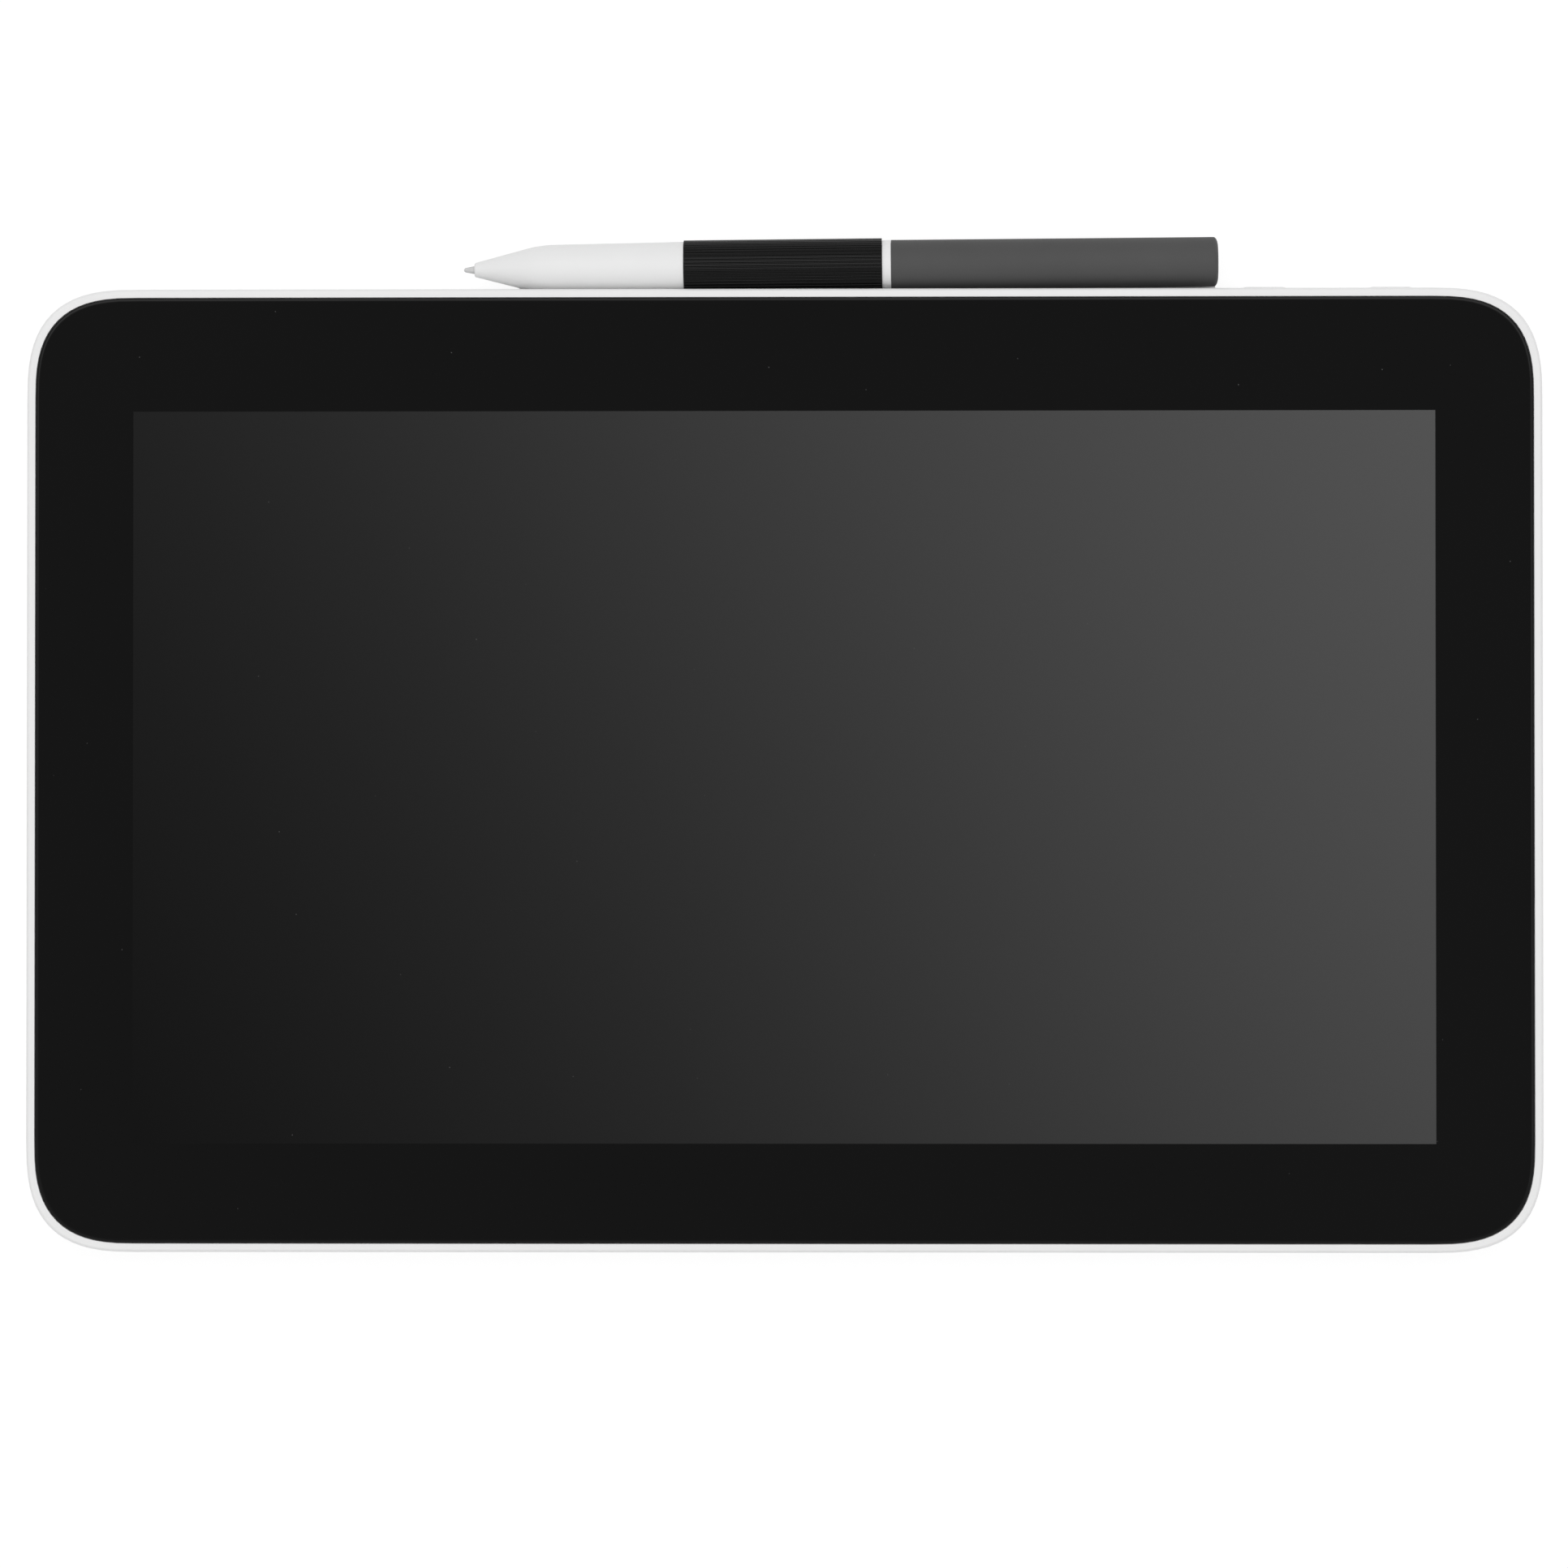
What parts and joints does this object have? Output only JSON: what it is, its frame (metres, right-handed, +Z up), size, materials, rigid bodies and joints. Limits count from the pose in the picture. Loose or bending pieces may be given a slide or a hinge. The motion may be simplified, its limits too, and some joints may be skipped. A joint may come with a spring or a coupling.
{
  "type": "graphics tablet with screen",
  "caption": "Flat pen display: black glass screen in a slim white case with softly squared corners, a pen lying in a rest along the far edge, and push buttons and ports beside it.",
  "frame": {"origin": "on the desk under the feet, in the middle of the box round the case and its lying pen", "axes": "+X along the long side towards the buttons, +Y towards the pen rest, +Z up out of the screen"},
  "size_m": [0.2992, 0.2006, 0.015],
  "materials": {
    "white_case": "fine satin texture",
    "foot_rubber": "matt",
    "steel": "plated",
    "cover_glass": "etched, with a rounded edge",
    "black_print": "even print",
    "clear_film": "clear",
    "black_tape": "matt",
    "dark_screen": "dark, not lit",
    "clear_acrylic": "polished",
    "lamp_strip": "matt",
    "silver_film": "bright",
    "circuit_board": "solder mask",
    "light_alloy": "cast",
    "chip_black": "moulded",
    "port_steel": "plated",
    "switch_steel": "plated",
    "light_pipe": "clear",
    "amber_ribbon": "film",
    "magnet": "nickel plated",
    "pen_white": "satin",
    "grip_rubber": "matt ribs",
    "pen_grey": "satin",
    "carrier_black": "moulded",
    "copper": "wound wire",
    "nib_grey": "moulded"
  },
  "bodies": {
    "tablet": {"rear_shell": "white_case", "rubber_feet": "foot_rubber", "case_screws": "steel", "cover_glass": "cover_glass", "border_mask": "black_print", "bonding_film": "clear_film", "glass_tape": "black_tape", "lcd_cell": "dark_screen", "light_guide": "clear_acrylic", "led_strip": "lamp_strip", "reflector_sheet": "silver_film", "sensor_board": "circuit_board", "shield_plate": "steel", "chassis_pan": "light_alloy", "main_board": "circuit_board", "board_chips": "chip_black", "board_screws": "steel", "usb_port_left": "port_steel", "usb_port_right": "port_steel", "port_tongues": "carrier_black", "button_board": "circuit_board", "tact_switches": "switch_steel", "status_light": "light_pipe", "panel_ribbon": "amber_ribbon", "sensor_ribbon": "amber_ribbon", "button_ribbon": "amber_ribbon", "pen_magnets": "magnet"},
    "pen": {"pen_front": "pen_white", "pen_grip": "grip_rubber", "pen_collar": "pen_white", "pen_tail": "pen_grey", "pen_core": "carrier_black", "pen_coil": "copper", "pressure_sensor": "steel", "pen_board": "circuit_board", "switch_strip": "amber_ribbon", "switch_pin": "steel", "pen_keeper": "steel"},
    "nib": {"pen_nib": "nib_grey", "nib_holder": "carrier_black"},
    "side_switch": {"side_switch": "pen_white"},
    "power_button": {"power_button": "white_case"},
    "menu_button": {"menu_button": "white_case"}
  },
  "joints": [
    {"name": "pen_lift", "type": "slide", "parent": "tablet", "child": "pen", "axis": [0, 0.788, 0.6157], "range_m": [0, 0.06]},
    {"name": "nib_press", "type": "slide", "parent": "pen", "child": "nib", "axis": [1, 0.0096, 0], "range_m": [0, 0.0004], "stiffness_N_per_m": 300},
    {"name": "side_switch_rock", "type": "hinge", "parent": "pen", "child": "side_switch", "pos_m": [-0.03239, 0.09428, 0.00525], "axis": [-0.0096, 1, 0], "range_deg": [-0.8, 0.8], "stiffness_Nm_per_rad": 0.05},
    {"name": "power_button_press", "type": "slide", "parent": "tablet", "child": "power_button", "axis": [0, -1, 0], "range_m": [0, 0.0003], "stiffness_N_per_m": 400},
    {"name": "menu_button_press", "type": "slide", "parent": "tablet", "child": "menu_button", "axis": [0, -1, 0], "range_m": [0, 0.0003], "stiffness_N_per_m": 400}
  ]
}
